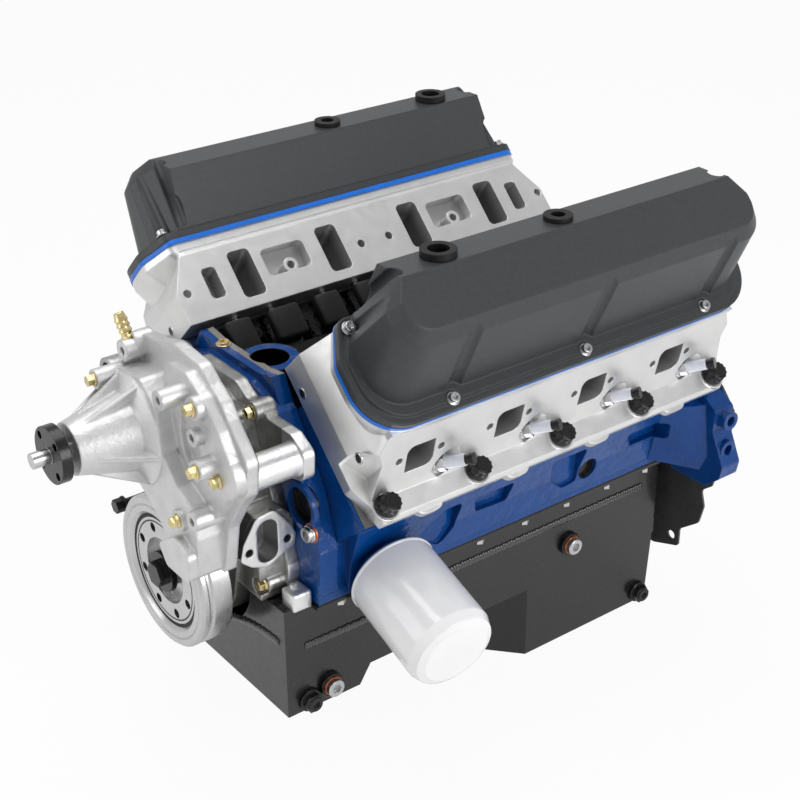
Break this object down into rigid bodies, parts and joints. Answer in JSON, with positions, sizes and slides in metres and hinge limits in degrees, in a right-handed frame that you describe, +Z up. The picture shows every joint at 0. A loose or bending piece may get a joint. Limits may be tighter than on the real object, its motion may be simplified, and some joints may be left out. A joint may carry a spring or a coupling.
{
  "type": "v8 engine",
  "caption": "Pushrod V8 long block: blue iron block, alloy heads, black slant-edge covers, alloy water pump, crank damper, double-sump pan and spin-on filter.",
  "frame": {"origin": "on the crankshaft axis at the block's rear face, inside the crank's pilot bore", "axes": "+Y to the flywheel along the crank axis, +Z up through the valley, +X to the left bank"},
  "size_m": [0.5309, 0.7469, 0.5624],
  "materials": {
    "block_paint": "gloss blue engine enamel",
    "black_steel": "black oxide",
    "bright_steel": "machined",
    "iron": "as cast",
    "forged_steel": "forged and machined",
    "gasket_blue": "moulded",
    "rubber": "matte",
    "head_alloy": "cast, bead blasted, machined faces",
    "gasket_grey": "matte",
    "bearing_metal": "plain",
    "white_enamel": "gloss white",
    "pan_paint": "satin black",
    "cast_alloy": "as cast",
    "white_ceramic": "glazed",
    "brass": "bright",
    "cover_paint": "satin black crinkle"
  },
  "bodies": {
    "engine": {"block": "block_paint", "block_plate": "black_steel", "block_plugs": "bright_steel", "bracket_bolt": "black_steel", "cam_retainer_plate": "iron", "connecting_rods": "forged_steel", "core_plugs": "black_steel", "cover_bolts": "bright_steel", "cover_gaskets": "gasket_blue", "cover_grommets": "rubber", "cylinder_head_left": "head_alloy", "cylinder_head_right": "head_alloy", "front_seal": "rubber", "head_bolts": "black_steel", "head_gaskets": "gasket_grey", "lifter_guides": "black_steel", "main_bearings": "bearing_metal", "main_caps": "iron", "oil_filter": "white_enamel", "oil_pan": "pan_paint", "pan_bolts": "bright_steel", "pan_gasket": "rubber", "pan_plugs": "black_steel", "pistons": "cast_alloy", "plug_insulators": "white_ceramic", "plug_terminals": "black_steel", "pump_backplate": "black_steel", "pump_fittings": "brass", "pushrods": "bright_steel", "rear_seal": "rubber", "rod_caps": "forged_steel", "roller_lifters": "bright_steel", "spark_plugs": "bright_steel", "timing_chain": "iron", "timing_cover": "cast_alloy", "timing_cover_bolts": "bright_steel", "timing_pointer": "black_steel", "valve_cover_left": "cover_paint", "valve_cover_right": "cover_paint", "water_pump_housing": "cast_alloy", "wrist_pins": "bright_steel"},
    "crank": {"crankshaft": "forged_steel", "crank_sprocket": "iron", "damper_hub": "bright_steel", "damper_elastomer": "rubber", "damper_ring": "bright_steel", "crank_bolt": "black_steel"},
    "cam": {"camshaft": "forged_steel", "cam_sprocket": "iron", "cam_bolt": "black_steel"},
    "pump_rotor": {"pump_shaft": "bright_steel", "pump_hub": "black_steel", "pump_impeller": "iron"}
  },
  "joints": [
    {"name": "crank_spin", "type": "hinge", "parent": "engine", "child": "crank", "pos_m": [0, -0.2585, 0], "axis": [0, 1, 0], "continuous": true, "deforming": ["timing_chain", "connecting_rods", "rod_caps"]},
    {"name": "cam_spin", "type": "hinge", "parent": "engine", "child": "cam", "pos_m": [0, -0.2585, 0.12], "axis": [0, 1, 0], "continuous": true, "deforming": ["roller_lifters"]},
    {"name": "pump_spin", "type": "hinge", "parent": "engine", "child": "pump_rotor", "pos_m": [0, -0.65, 0.174], "axis": [0, 1, 0], "continuous": true}
  ],
  "couplings": [
    {"joint": "cam_spin", "follows": "crank_spin", "ratio": 0.5}
  ]
}
